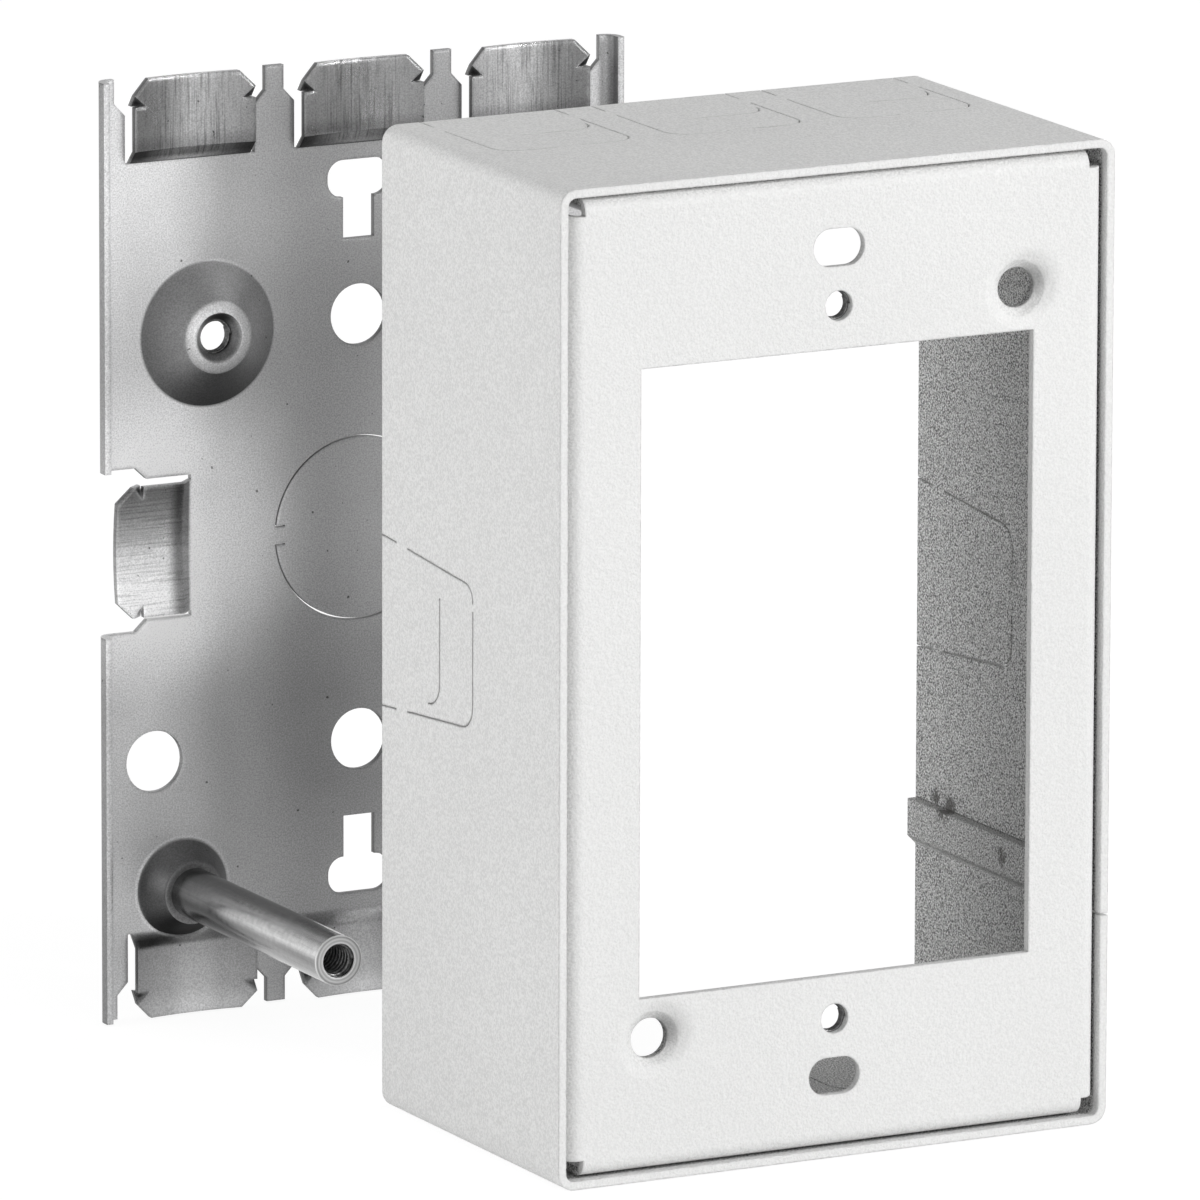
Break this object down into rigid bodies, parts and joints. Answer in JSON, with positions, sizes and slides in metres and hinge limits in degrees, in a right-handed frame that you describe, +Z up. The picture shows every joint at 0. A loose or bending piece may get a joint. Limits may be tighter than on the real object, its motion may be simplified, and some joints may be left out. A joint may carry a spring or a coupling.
{
  "type": "raceway outlet box",
  "caption": "single-gang surface raceway outlet box, shown opened: a deep painted cover stands in front of its galvanised base plate, which carries raceway tongues and cover posts",
  "frame": {"origin": "middle of the bottom of the whole set's bounding box", "axes": "+X right, +Y from the front of the cover to the wall, +Z up"},
  "size_m": [0.0826, 0.0974, 0.116],
  "materials": {
    "cover": "off-white textured powder coat",
    "galvanised": "satin zinc plate with dark specks",
    "posts": "satin zinc plate"
  },
  "bodies": {
    "root": {"cover_sleeve": "cover", "face_plate": "cover", "base_plate": "galvanised", "post_lower_left": "posts", "post_upper_right": "posts"}
  },
  "joints": []
}
